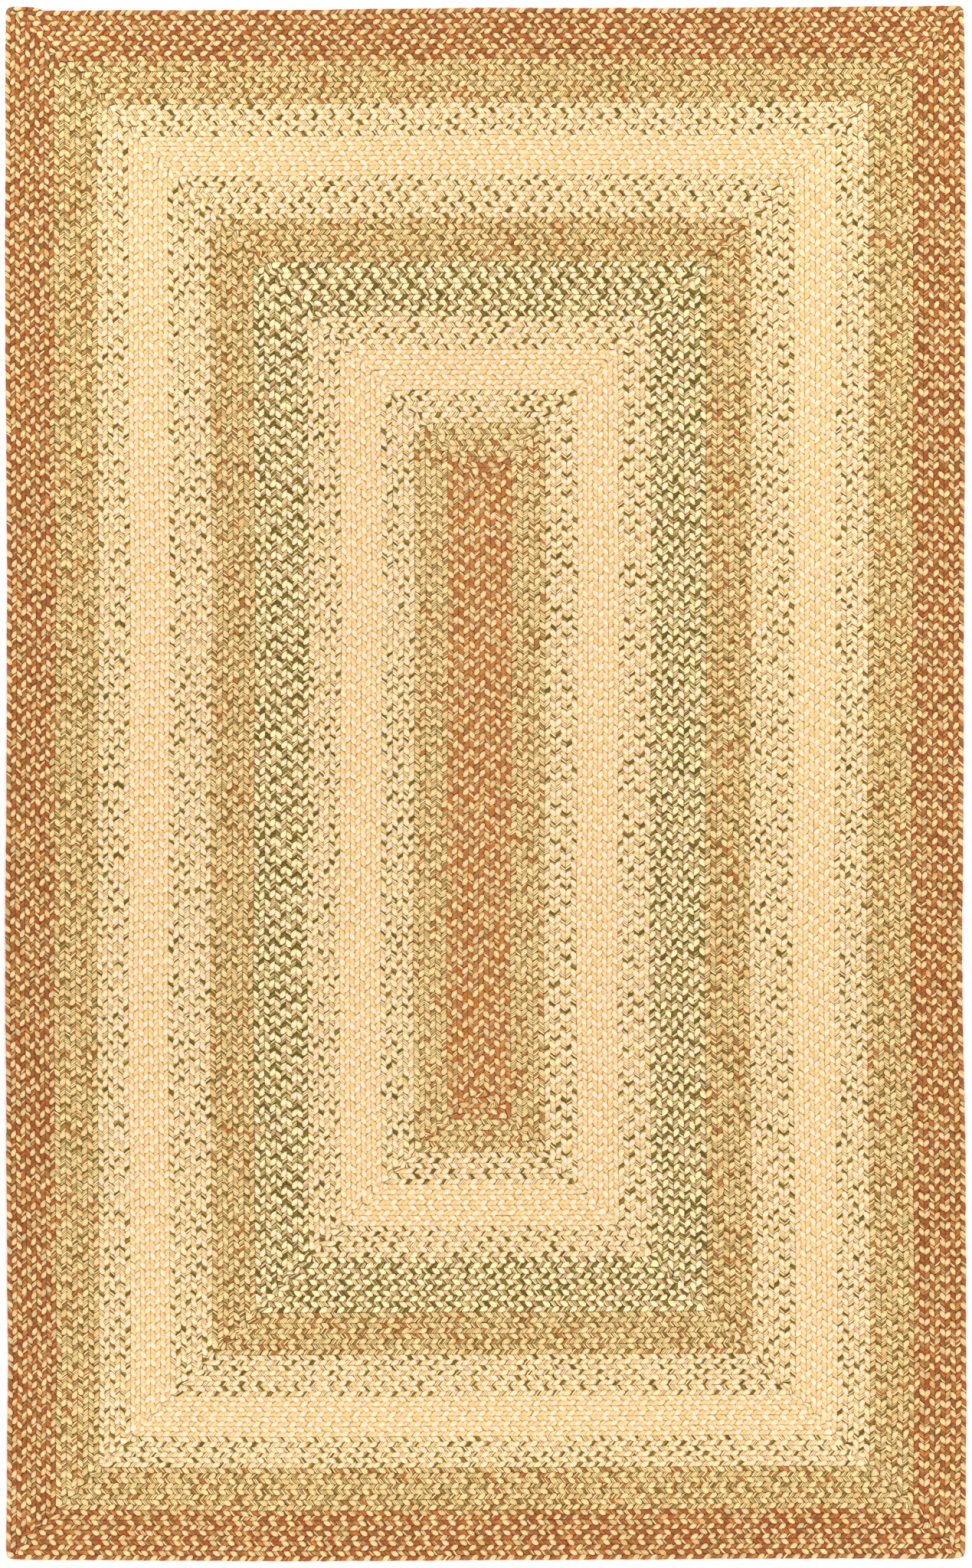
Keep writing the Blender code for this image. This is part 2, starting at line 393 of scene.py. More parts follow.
treeInputs = {  # what the tree is given, by kind
    "NodeSocketGeometry": ("Geometry",),
    "NodeSocketObject": ("Outer fat leaf", "Inner fat leaf", "Outer flat leaf", "Inner flat leaf"),
    "NodeSocketInt": ("Leaves in a column", "First leaf", "Cells across", "Seed"),
    "NodeSocketFloat": (
        "Pitch",
        "Start",
        "Half braid",
        "Leaf middle",
        "Lowest",
        "Crowding",
        "Wander",
        "Twist",
        "Corner twist",
        "Corner growth",
    ),
    "NodeSocketVector": ("Fat leaf", "Even leaf", "Thin leaf", "Smallest", "Largest"),
    "NodeSocketMaterial": ("Yarn",),
}


def randomVector(tree, seed, number, low, high, salt):  # another salt gives other numbers
    seed = mathNode(tree, "ADD", seed, float(salt))
    inputs = {0: low, 1: high, "ID": number, "Seed": seed}
    made = addNode(tree, "FunctionNodeRandomValue", inputs, data_type="FLOAT_VECTOR")
    return made.outputs[0]


def stored(tree, geometry, name, value, kind="FLOAT", domain="POINT"):
    inputs = {"Geometry": geometry, "Name": name, "Value": value}
    settings = {"data_type": kind, "domain": domain}
    return addNode(tree, "GeometryNodeStoreNamedAttribute", inputs, **settings).outputs[0]


def readBack(tree, name, kind="FLOAT"):
    made = addNode(tree, "GeometryNodeInputNamedAttribute", {"Name": name}, data_type=kind)
    return made.outputs[0]


def onPath(tree, path, name, kind, length):
    inputs = {"Curves": path, "Value": readBack(tree, name, kind), "Length": length}
    made = addNode(tree, "GeometryNodeSampleCurve", inputs, data_type=kind, mode="LENGTH")
    return made.outputs["Value"]


def herePlace(tree):
    return separated(tree, addNode(tree, "GeometryNodeInputPosition").outputs[0])


# Leaves are laid out in line first: even numbers outside the middle line, odd ones inside it
# and half a pitch further on.
def leafPoints(tree, given, path):
    number = addNode(tree, "GeometryNodeInputIndex").outputs[0]
    isInner = mathNode(tree, "MODULO", number, 2.0)
    step = mathNode(tree, "FLOOR", mathNode(tree, "DIVIDE", number, 2.0))
    reach = mathNode(tree, "MULTIPLY_ADD", isInner, 0.5, step)
    reach = mathNode(tree, "MULTIPLY_ADD", reach, given["Pitch"], given["Start"])
    # The same strand comes up every third leaf, and in the other column a leaf and a half on.
    strand = mathNode(tree, "ADD", step, given["First leaf"])
    strand = mathNode(tree, "MULTIPLY_ADD", isInner, 2.0, strand)
    strand = mathNode(tree, "MODULO", strand, 3.0)
    # Strand 1 is pushed on and strand 2 back, and the fat strand 0 stays.
    push = mathNode(tree, "SUBTRACT", 3.0, mathNode(tree, "MULTIPLY", strand, 2.0))
    push = mathNode(tree, "MULTIPLY", push, mathNode(tree, "MINIMUM", strand, 1.0))
    reach = mathNode(tree, "MULTIPLY_ADD", push, given["Crowding"], reach)
    side = mathNode(tree, "MULTIPLY_ADD", isInner, -2.0, 1.0)
    across = mathNode(tree, "MULTIPLY", side, given["Leaf middle"])
    most = braidLook["wanderShares"]
    least = [-share for share in most]
    wander = randomVector(tree, given["Seed"], number, least, most, 1)
    wander = scaled(tree, wander, given["Wander"])
    place = vectorNode(tree, "ADD", combined(tree, reach, across, 0.0), wander)
    count = mathNode(tree, "MULTIPLY", given["Leaves in a column"], 2.0)
    points = addNode(tree, "GeometryNodePoints", {0: count, 1: place}).outputs[0]
    for name, value in (("strand", strand), ("leafNumber", number), ("isInner", isInner)):
        points = stored(tree, points, name, value)
    seed = randomVector(tree, given["Seed"], number, (0, 0, 0), (1, 1, 1), 2)
    points = stored(tree, points, "leafSeed", seed, "FLOAT_VECTOR")
    bend = onPath(tree, path, "bend", "FLOAT", reach)
    tucked = mathNode(tree, "GREATER_THAN", bend, rugPlan["tuckedFrom"])
    tucked = mathNode(tree, "MULTIPLY", tucked, isInner)
    inputs = {0: points, 1: tucked}
    return addNode(tree, "GeometryNodeDeleteGeometry", inputs, domain="POINT").outputs[0]


def leavesOn(tree, given, points, path):
    number, strand = readBack(tree, "leafNumber"), readBack(tree, "strand")
    size = addNode(tree, "GeometryNodeIndexSwitch", {0: strand}, data_type="VECTOR")
    while len(size.index_switch_items) < 3:
        size.index_switch_items.new()
    for slot, name in enumerate(("Fat leaf", "Even leaf", "Thin leaf")):
        tree.links.new(given[name], size.inputs[slot + 1])
    own = randomVector(tree, given["Seed"], number, given["Smallest"], given["Largest"], 3)
    size = vectorNode(tree, "MULTIPLY", size.outputs[0], own)
    # In a turn the leaves are bigger and lie more freely.
    bend = onPath(tree, path, "bend", "FLOAT", herePlace(tree)[0])
    bend = mathNode(tree, "MINIMUM", bend, 1.0)
    size = scaled(tree, size, mathNode(tree, "MULTIPLY_ADD", bend, given["Corner growth"], 1.0))
    twist = mathNode(tree, "MULTIPLY_ADD", bend, given["Corner twist"], given["Twist"])
    most = braidLook["twistShares"]
    least = [-share for share in most]
    turn = scaled(tree, randomVector(tree, given["Seed"], number, least, most, 4), twist)
    turn = addNode(tree, "FunctionNodeEulerToRotation", {0: turn}).outputs[0]
    isInner = readBack(tree, "isInner")
    isOuter = mathNode(tree, "SUBTRACT", 1.0, isInner)
    isFlat = mathNode(tree, "GREATER_THAN", strand, 0.5)
    isFat = mathNode(tree, "SUBTRACT", 1.0, isFlat)
    joined = addNode(tree, "GeometryNodeJoinGeometry")
    for inKind, kind in ((isFat, "fat"), (isFlat, "flat")):
        for inColumn, column in ((isOuter, "Outer"), (isInner, "Inner")):
            source = {"Object": given[f"{column} {kind} leaf"]}
            leaf = addNode(tree, "GeometryNodeObjectInfo", source)
            inputs = {
                "Points": points,
                "Selection": mathNode(tree, "MULTIPLY", inColumn, inKind),
                "Instance": leaf.outputs["Geometry"],
                "Rotation": turn,
                "Scale": size,
            }
            placed = addNode(tree, "GeometryNodeInstanceOnPoints", inputs)
            tree.links.new(placed.outputs[0], joined.inputs[0])
    return addNode(tree, "GeometryNodeRealizeInstances", {0: joined.outputs[0]}).outputs[0]


def withCells(tree, given, leaves):  # each leaf gets its own cell of the OFBake map
    number, cells = readBack(tree, "leafNumber"), given["Cells across"]
    row = mathNode(tree, "ADD", number, 0.01)  # so that rounding can't lose a row
    row = mathNode(tree, "FLOOR", mathNode(tree, "DIVIDE", row, cells))
    column = mathNode(tree, "SUBTRACT", number, mathNode(tree, "MULTIPLY", row, cells))
    inCell = readBack(tree, "OFBake", "FLOAT_VECTOR")
    inPicture = vectorNode(tree, "ADD", inCell, combined(tree, column, row, 0.0))
    inPicture = scaled(tree, inPicture, mathNode(tree, "DIVIDE", 1.0, cells))
    return stored(tree, leaves, "OFBake", inPicture, "FLOAT2", "CORNER")


def bentToPath(tree, given, leaves, path):  # and stretched to the braid's width there
    along, across, up = herePlace(tree)
    innerSeam = onPath(tree, path, "innerSeam", "FLOAT_VECTOR", along)
    outerSeam = onPath(tree, path, "outerSeam", "FLOAT_VECTOR", along)
    share = mathNode(tree, "DIVIDE", across, given["Half braid"])
    share = mathNode(tree, "MULTIPLY_ADD", share, 0.5, 0.5)
    out = scaled(tree, vectorNode(tree, "SUBTRACT", outerSeam, innerSeam), share)
    up = combined(tree, 0.0, 0.0, mathNode(tree, "MAXIMUM", up, given["Lowest"]))
    bent = vectorNode(tree, "ADD", vectorNode(tree, "ADD", innerSeam, out), up)
    inputs = {"Geometry": leaves, "Position": bent}
    return addNode(tree, "GeometryNodeSetPosition", inputs).outputs[0]


def buildBraidTree():
    tree = bpy.data.node_groups.new("braidedRound", "GeometryNodeTree")
    for kind, names in treeInputs.items():
        for name in names:
            tree.interface.new_socket(name, in_out="INPUT", socket_type=kind)
    tree.interface.new_socket("Geometry", in_out="OUTPUT", socket_type="NodeSocketGeometry")
    given = tree.nodes.new("NodeGroupInput").outputs
    path = addNode(tree, "GeometryNodeMeshToCurve", {0: given["Geometry"]}).outputs[0]
    leaves = leavesOn(tree, given, leafPoints(tree, given, path), path)
    leaves = bentToPath(tree, given, withCells(tree, given, leaves), path)
    coloured = addNode(tree, "GeometryNodeSetMaterial", {0: leaves, "Material": given["Yarn"]})
    tree.links.new(coloured.outputs[0], tree.nodes.new("NodeGroupOutput").inputs[0])
    return tree


def pathObject(name, stations):  # straight, with the places on the floor kept beside it
    mesh = bpy.data.meshes.new(name)
    ends = [(k, k + 1) for k in range(len(stations) - 1)]
    mesh.from_pydata([(place, 0.0, 0.0) for place in placesAlong(stations)], ends, [])
    for key, column in (("innerSeam", 0), ("outerSeam", 1)):
        seam = mesh.attributes.new(key, "FLOAT_VECTOR", "POINT")
        points = [(*laid(station[column]), 0.0) for station in stations]
        seam.data.foreach_set("vector", np.ravel(points))
    bends = [station[2] for station in stations]
    mesh.attributes.new("bend", "FLOAT", "POINT").data.foreach_set("value", bends)
    return plainObject(name, mesh)


def finished(made):  # the evaluated object as a plain mesh with no modifiers
    graph = bpy.context.evaluated_depsgraph_get()
    made.data = bpy.data.meshes.new_from_object(made.evaluated_get(graph))
    made.modifiers.clear()
    return made


def braidRound(tree, number, firstLeaf, leaves, yarn, name):
    own = roundStations(number)
    before = [] if number == 1 else sideStations(number - 1, 3)[-1:]
    after = tailStations() if number == lastRound else turnStations(number, 4)[1:4]
    start = placesAlong(before + own[:1])[-1]
    length = placesAlong(own + after if number == lastRound else own)[-1]
    count = round(length / (braidLook["pitch"] * mm))
    made = pathObject(name, before + own + after)
    settings = {
        **leaves,
        "Leaves in a column": count,
        "First leaf": firstLeaf,
        "Cells across": math.ceil(math.sqrt(2 * count)),
        "Seed": braidLook["seed"] + 10 * number,
        "Pitch": length / count,
        "Start": start,
        "Half braid": leafShape["halfBraid"] * mm,
        "Leaf middle": leafShape["middle"][1] * mm,
        "Lowest": leafShape["lowest"] * mm,
        "Crowding": braidLook["crowding"] * mm,
        "Wander": braidLook["wander"] * mm,
        "Twist": math.radians(braidLook["twist"]),
        "Corner twist": math.radians(braidLook["cornerTwist"]),
        "Corner growth": braidLook["cornerGrowth"],
        "Fat leaf": braidLook["fatLeaf"],
        "Even leaf": braidLook["evenLeaf"],
        "Thin leaf": braidLook["thinLeaf"],
        "Smallest": braidLook["smallest"],
        "Largest": braidLook["largest"],
        "Yarn": yarn,
    }
    modifier = made.modifiers.new("Braid", "NODES")
    modifier.node_group = tree
    for item in tree.interface.items_tree:
        if item.in_out == "INPUT" and item.name in settings:
            modifier[item.identifier] = settings[item.name]
    return finished(made), firstLeaf + count


# A strand's plies take their colours in turn from its list of (share, colour): a short step
# between neighbours keeps a leaf near one colour, and a long one stripes it. The line colour is
# painted shade in the crease between two plies, and the tip colour painted shade towards a
# leaf's two ends, each with a depth that says how much it shows. The contact colour is painted
# shade where leaves meet, the ground colour is painted shade on the top of the hidden crossings
# seen between the leaves, the under colour is their tone below, and the thread laces two rounds
# together.
# Flecks are plies of another colour, and "fleckFrom" is the strand, less a half, that has the
# first of them. "fade" is how far all the strands' colours pale.
yarnKinds = {
    "rust": {
        "slot": "rust_braid",
        "contactShade": (116, 68, 8),
        "thread": (96, 62, 10),
        "ground": (114, 68, 10),
        "under": (172, 108, 60),
        "fleck": (162, 100, 56),
        "fleckShare": 0.18,
        "strands": (
            {
                "plies": (
                    (4, (248, 218, 158)),
                    (4, (250, 212, 164)),
                    (2, (236, 206, 140)),
                    (2, (218, 196, 146)),
                    (1, (232, 180, 116)),
                ),
                "step": 0.06,
                "line": (196, 152, 92),
                "lineDepth": 0.6,
                "tip": (206, 160, 92),
                "tipDepth": 0.75,
            },
            {
                "plies": (
                    (4, (170, 85, 46)),
                    (3, (194, 108, 54)),
                    (2, (206, 136, 70)),
                    (3, (182, 128, 68)),
                    (1, (230, 186, 120)),
                ),
                "step": 0.08,
                "line": (128, 72, 12),
                "lineDepth": 0.8,
                "tip": (152, 90, 26),
                "tipDepth": 0.45,
            },
            {
                "plies": (
                    (3, (196, 116, 60)),
                    (2, (236, 200, 138)),
                    (2, (172, 92, 44)),
                    (2, (208, 182, 128)),
                    (1, (152, 110, 46)),
                    (1, (244, 214, 158)),
                ),
                "step": 0.382,
                "line": (112, 70, 10),
                "lineDepth": 0.85,
                "tip": (156, 100, 36),
                "tipDepth": 0.4,
            },
        ),
    },
    "olive": {
        "slot": "olive_braid",
        "contactShade": (130, 94, 22),
        "thread": (100, 76, 16),
        "ground": (108, 78, 16),
        "under": (184, 152, 94),
        "fleck": (202, 122, 66),
        "fleckShare": 0.14,
        "strands": (
            {
                "plies": (
                    (5, (249, 223, 163)),
                    (4, (248, 214, 162)),
                    (2, (228, 206, 142)),
                    (1, (240, 194, 132)),
                ),
                "step": 0.06,
                "line": (198, 162, 96),
                "lineDepth": 0.65,
                "tip": (214, 178, 112),
                "tipDepth": 0.55,
            },
            {
                "plies": (
                    (3, (240, 208, 142)),
                    (2, (214, 184, 122)),
                    (1, (156, 118, 56)),
                    (2, (246, 217, 156)),
                    (1, (196, 176, 118)),
                ),
                "step": 0.3,
                "line": (112, 79, 20),
                "lineDepth": 1.1,
                "tip": (180, 142, 78),
                "tipDepth": 0.3,
            },
            {
                "plies": (
                    (3, (222, 190, 126)),
                    (2, (138, 102, 40)),
                    (3, (248, 218, 160)),
                    (2, (190, 158, 98)),
                ),
                "step": 0.382,
                "line": (102, 72, 14),
                "lineDepth": 1.1,
                "tip": (164, 130, 64),
                "tipDepth": 0.3,
            },
        ),
    },
    "cream": {
        "slot": "cream_braid",
        "contactShade": (206, 174, 92),
        "thread": (150, 120, 40),
        "ground": (146, 114, 36),
        "under": (232, 202, 146),
        "fleck": (104, 84, 28),
        "fleckShare": 0.08,
        "fleckFrom": 1.5,
        "strands": (
            {
                "plies": ((5, (249, 227, 191)), (3, (250, 223, 198)), (2, (245, 227, 181))),
                "step": 0.07,
                "line": (238, 208, 154),
                "lineDepth": 0.45,
                "tip": (241, 208, 154),
                "tipDepth": 0.7,
            },
            {
                "plies": (
                    (5, (251, 223, 172)),
                    (2, (250, 214, 166)),
                    (2, (240, 210, 142)),
                    (2, (252, 230, 190)),
                ),
                "step": 0.2,
                "line": (182, 144, 68),
                "lineDepth": 0.75,
                "tip": (220, 184, 110),
                "tipDepth": 0.3,
            },
            {
                "plies": (
                    (3, (250, 220, 172)),
                    (2, (118, 97, 38)),
                    (2, (248, 212, 172)),
                    (1, (230, 194, 138)),
                    (1, (160, 130, 62)),
                ),
                "step": 0.382,
                "line": (110, 86, 28),
                "lineDepth": 1.1,
                "tip": (200, 162, 96),
                "tipDepth": 0.3,
            },
        ),
    },
    "gold": {
        "slot": "gold_braid",
        "contactShade": (214, 178, 92),
        "thread": (168, 140, 54),
        "ground": (172, 136, 52),
        "under": (238, 206, 150),
        "fleck": (252, 218, 178),
        "fleckShare": 0.2,
        "strands": (
            {
                "plies": ((5, (249, 227, 203)), (3, (248, 225, 194))),
                "step": 0.05,
                "line": (246, 216, 172),
                "lineDepth": 0.3,
                "tip": (247, 215, 162),
                "tipDepth": 1.0,
            },
            {
                "plies": ((5, (245, 213, 160)), (2, (242, 207, 150)), (2, (249, 221, 174))),
                "step": 0.2,
                "line": (220, 180, 104),
                "lineDepth": 0.45,
                "tip": (240, 204, 138),
                "tipDepth": 0.3,
            },
            {
                "plies": ((4, (244, 211, 156)), (2, (248, 217, 168)), (2, (238, 202, 140))),
                "step": 0.3,
                "line": (208, 168, 86),
                "lineDepth": 0.55,
                "tip": (236, 200, 132),
                "tipDepth": 0.3,
            },
        ),
    },
    "green": {
        "slot": "green_braid",
        "contactShade": (124, 99, 24),
        "thread": (108, 88, 26),
        "ground": (94, 76, 14),
        "under": (166, 142, 90),
        "fleck": (226, 180, 132),
        "fleckShare": 0.12,
        "strands": (
            {
                "plies": ((5, (253, 238, 188)), (3, (252, 232, 196)), (1, (240, 224, 166))),
                "step": 0.06,
                "line": (216, 186, 124),
                "lineDepth": 0.5,
                "tip": (242, 216, 158),
                "tipDepth": 0.5,
            },
            {
                "plies": (
                    (4, (138, 116, 48)),
                    (3, (106, 87, 24)),
                    (2, (186, 162, 94)),
                    (3, (224, 200, 140)),
                ),
                "step": 0.22,
                "line": (80, 62, 8),
                "lineDepth": 0.9,
                "tip": (100, 82, 24),
                "tipDepth": 0.3,
            },
            {
                "plies": (
                    (4, (248, 222, 170)),
                    (2, (138, 114, 48)),
                    (2, (238, 208, 146)),
                    (1, (240, 200, 156)),
                ),
                "step": 0.382,
                "line": (96, 76, 16),
                "lineDepth": 0.9,
                "tip": (196, 166, 102),
                "tipDepth": 0.3,
            },
        ),
    },
}
# The middle of the rug is brighter than its border.
yarnKinds["brightRust"] = {
    **yarnKinds["rust"],
    "contactShade": (134, 80, 14),
    "ground": (130, 78, 14),
    "fleck": (210, 128, 50),
    "fade": 0.21,
}
yarnKinds["brightOlive"] = {**yarnKinds["olive"], "fade": 0.24}
fadedTo = (253, 224, 168)

plyLook = {
    "width": 2.8,  # mm
    "bow": 0.012,  # mm that a ply bows for each square mm along its leaf
    "seedSteps": (977.0, 613.0),  # how many whole numbers a leaf's own key is picked from
    "orderChance": 0.15,  # how much chance there is in the order of a strand's colours
    "lineShare": 0.24,  # of a ply's width on either side, taken by the painted shade in the crease between plies
    "depth": 0.35,  # mm of relief
    "tipSpan": (8.2, 4.6),  # mm along and across from a leaf's middle to the full painted shade at its tips
    "tipFrom": 0.45,
    "rimShadeFrom": 0.74,  # where the painted shade at a leaf's edge starts, from its crown to its rim
    "fibresPerMm": (0.5, 3.0),  # along and across a ply
    "fibreDepth": 0.12,  # mm of relief
    "fibreShift": 40.0,
    "fibreSpan": (0.3, 0.7),
    "fibreShade": (0.86, 1.1),
    "plyShade": (0.93, 1.05),
    "patchesPerMetre": 30.0,
    "patchSpan": (0.35, 0.65),
    "fleckShares": (0.3, 1.7),  # a patch's fewest and most flecks, against "fleckShare"
    "stitch": 3.1,  # mm from one dot of the seam's thread to the next
    "stitchSpan": (-0.3, 0.6),
    "stitchLeast": 0.25,
    "seamSpan": (3.75, 4.25),  # mm from a leaf's middle out to where the thread shows
    "joinSpan": (0.35, 0.6),  # how near another leaf must be, so none shows on the rug's edge
    "roughness": (0.8, 1.0),
    "specular": 0.25,
    "sheen": 0.08,
    "sheenRoughness": 0.5,
}


def attributeOf(tree, name, output):
    return addNode(tree, "ShaderNodeAttribute", attribute_name=name).outputs[output]


def mapped(tree, value, span, onto=(0.0, 1.0), smooth=False):
    inputs = {0: value, 1: span[0], 2: span[1], 3: onto[0], 4: onto[1]}
    way = "SMOOTHSTEP" if smooth else "LINEAR"
    return addNode(tree, "ShaderNodeMapRange", inputs, interpolation_type=way).outputs[0]


def mixed(tree, share, first, second):
    inputs = {0: share, 6: first, 7: second}
    return addNode(tree, "ShaderNodeMix", inputs, data_type="RGBA").outputs[2]


def faded(colour, share):
    return linear([value + (pale - value) * share for value, pale in zip(colour, fadedTo)])


def plyRamp(tree, chance, plies, fade):
    made = addNode(tree, "ShaderNodeValToRGB", {0: chance})
    ramp = made.color_ramp
    ramp.interpolation = "CONSTANT"
    total, reach = sum(share for share, _ in plies), 0.0
    while len(ramp.elements) < len(plies):
        ramp.elements.new(0.5)
    for element, (share, colour) in zip(ramp.elements, plies):
        element.position = reach
        element.color = faded(colour, fade)
        reach += share / total
    return made.outputs["Color"]


def newMaterial(name):
    made = bpy.data.materials.new(name)
    made.use_nodes = True
    return made, made.node_tree, made.node_tree.nodes["Principled BSDF"]


def tipShare(tree, along, across):  # painted shade towards the tips, 0 in a leaf's middle and 1 at its two ends
    parts = [
        mathNode(tree, "POWER", mathNode(tree, "DIVIDE", away, span), 2.0)
        for away, span in zip((along, across), plyLook["tipSpan"])
    ]
    reach = mathNode(tree, "SQRT", mathNode(tree, "ADD", *parts))
    return mapped(tree, reach, (plyLook["tipFrom"], 1.0), smooth=True)


def strandLook(tree, kind, strand, order, toTipShade):  # colour, colour of the painted shade between plies, and its depth
    fade = kind.get("fade", 0.0)
    shown = None
    for index, plies in enumerate(kind["strands"]):
        plyNumber, seed, chance = order
        turn = mathNode(tree, "MULTIPLY_ADD", plyNumber, plies["step"], seed)
        turn = mathNode(tree, "MULTIPLY_ADD", chance, plyLook["orderChance"], turn)
        colour = plyRamp(tree, mathNode(tree, "FRACT", turn), plies["plies"], fade)
        depth = mathNode(tree, "MULTIPLY", toTipShade, plies["tipDepth"])
        colour = mixed(tree, depth, colour, faded(plies["tip"], fade))
        own = (colour, linear(plies["line"]), plies["lineDepth"])
        if shown is None:
            shown = own
            continue
        chosen = mathNode(tree, "GREATER_THAN", strand, index - 0.5)
        colours = [mixed(tree, chosen, shown[part], own[part]) for part in (0, 1)]
        shown = (*colours, mapped(tree, chosen, (0.0, 1.0), (shown[2], own[2])))
    return shown


def fleckedOver(tree, kind, strand, chance, colour):  # plies of another colour, here and there
    where = addNode(tree, "ShaderNodeTexCoord").outputs["Object"]
    inputs = {"Vector": where, "Scale": plyLook["patchesPerMetre"], "Detail": 1.0}
    patch = addNode(tree, "ShaderNodeTexNoise", inputs).outputs[0]
    shares = [kind["fleckShare"] * share for share in plyLook["fleckShares"]]
    patch = mapped(tree, patch, plyLook["patchSpan"], shares)
    flecked = mathNode(tree, "LESS_THAN", chance, patch)
    fleckable = mathNode(tree, "GREATER_THAN", strand, kind.get("fleckFrom", 0.5))
    flecked = mathNode(tree, "MULTIPLY", flecked, fleckable)
    return mixed(tree, flecked, colour, linear(kind["fleck"]))


def threadShare(tree, leafPlace, rim):  # dots where the leaf meets the seam of two rounds
    lean = math.radians(leafShape["slant"])
    ways = ((math.cos(lean), -math.sin(lean), 0.0), (math.sin(lean), math.cos(lean), 0.0))
    outwards, onwards = (
        vectorNode(tree, "DOT_PRODUCT", leafPlace, way, output="Value") for way in ways
    )
    dots = mathNode(tree, "MULTIPLY", onwards, 2 * math.pi / plyLook["stitch"])
    dots = mathNode(tree, "SINE", dots)
    dots = mapped(tree, dots, plyLook["stitchSpan"], (plyLook["stitchLeast"], 1.0))
    dots = mathNode(tree, "MULTIPLY", dots, mapped(tree, outwards, plyLook["seamSpan"]))
    return mathNode(tree, "MULTIPLY", dots, mapped(tree, rim, plyLook["joinSpan"]))


def yarnMaterial(name):
    kind = yarnKinds[name]
    made, tree, shader = newMaterial(name + "Yarn")
    leafPlace = attributeOf(tree, "leafPlace", "Vector")
    along, across, rim = separated(tree, leafPlace)
    seeds = separated(tree, attributeOf(tree, "leafSeed", "Vector"))
    strand = attributeOf(tree, "strand", "Fac")

    # Plies lie side by side along the strand, and bow a little over the leaf.
    bow = mathNode(tree, "MULTIPLY", mathNode(tree, "MULTIPLY", along, along), plyLook["bow"])
    across = mathNode(tree, "ADD", across, bow)
    ply = mathNode(tree, "DIVIDE", across, plyLook["width"])
    ply = mathNode(tree, "ADD", ply, seeds[0])
    plyNumber = mathNode(tree, "FLOOR", ply)
    offMiddle = mathNode(tree, "SUBTRACT", mathNode(tree, "SUBTRACT", ply, plyNumber), 0.5)
    offMiddle = mathNode(tree, "ABSOLUTE", offMiddle)
    leafKeys = [
        mathNode(tree, "ROUND", mathNode(tree, "MULTIPLY", seeds[part], steps))
        for part, steps in zip((1, 2), plyLook["seedSteps"])
    ]
    key = combined(tree, plyNumber, *leafKeys)
    chance = addNode(tree, "ShaderNodeTexWhiteNoise", {"Vector": key}, noise_dimensions="3D")
    plyChance = chance.outputs["Value"]
    fleckChance = addNode(tree, "ShaderNodeSeparateColor", {0: chance.outputs["Color"]}).outputs[0]

    order = (plyNumber, seeds[1], plyChance)
    # Painted shade towards a leaf's two ends, where it slopes down under its neighbours.
    toTipShade = tipShare(tree, along, across)
    colour, lineColour, lineDepth = strandLook(tree, kind, strand, order, toTipShade)
    colour = fleckedOver(tree, kind, strand, fleckChance, colour)

    # Painted shade in the crease between two plies.
    line = mapped(tree, offMiddle, (0.5 - plyLook["lineShare"], 0.5), smooth=True)
    line = mathNode(tree, "MULTIPLY", line, lineDepth, clamp=True)
    colour = mixed(tree, line, colour, lineColour)

    # Fibres run along the plies, and the spinning varies the shade from ply to ply.
    factors = (*plyLook["fibresPerMm"], plyLook["fibreShift"])
    fibrePlace = combined(
        tree,
        *(mathNode(tree, "MULTIPLY", *pair) for pair in zip((along, across, seeds[2]), factors)),
    )
    inputs = {"Vector": fibrePlace, "Scale": 1.0, "Detail": 3.0, "Roughness": 0.6}
    fibre = addNode(tree, "ShaderNodeTexNoise", inputs).outputs[0]
    fibreShade = mapped(tree, fibre, plyLook["fibreSpan"], plyLook["fibreShade"])
    plyShade = mapped(tree, plyChance, (0.0, 1.0), plyLook["plyShade"])
    colour = scaled(tree, colour, mathNode(tree, "MULTIPLY", fibreShade, plyShade))

    # Painted shade where the leaves meet, darkest at the rim.
    edge = mapped(tree, rim, (plyLook["rimShadeFrom"], 1.0), smooth=True)
    colour = mixed(tree, edge, colour, linear(kind["contactShade"]))
    colour = mixed(tree, threadShare(tree, leafPlace, rim), colour, linear(kind["thread"]))
    tree.links.new(colour, shader.inputs["Base Color"])

    rough = mapped(tree, fibre, (0.0, 1.0), plyLook["roughness"])
    tree.links.new(rough, shader.inputs["Roughness"])
    fall = mathNode(tree, "POWER", mathNode(tree, "MULTIPLY", offMiddle, 2.0), 2.0)
    height = mathNode(tree, "SUBTRACT", 1.0, fall)
    height = mathNode(tree, "MULTIPLY", height, plyLook["depth"] * mm)
    height = mathNode(tree, "MULTIPLY_ADD", fibre, plyLook["fibreDepth"] * mm, height)
    bump = addNode(tree, "ShaderNodeBump", {"Height": height, "Strength": 1.0, "Distance": 1.0})
    tree.links.new(bump.outputs[0], shader.inputs["Normal"])
    shader.inputs["Specular IOR Level"].default_value = plyLook["specular"]
    shader.inputs["Sheen Weight"].default_value = plyLook["sheen"]
    shader.inputs["Sheen Roughness"].default_value = plyLook["sheenRoughness"]
    return made


# The ground is the strands' hidden crossings, seen between the leaves and from below. Its top is
# painted shade.
groundLook = {
    "low": 4.4,  # mm
    "high": 6.0,
    "reach": 0.965,  # share of the braid's width that it fills
    "turnShadeLift": 0.5,  # how much lighter the painted shade on the ground's top is in a turn
    "grainsPerMetre": 700.0,
    "grainSpan": (0.3, 0.7),
    "grainShade": (0.75, 1.2),
    "roughness": (0.85, 1.0),
    "bumpStrength": 0.6,
    "bumpDepth": 0.4,  # mm
}


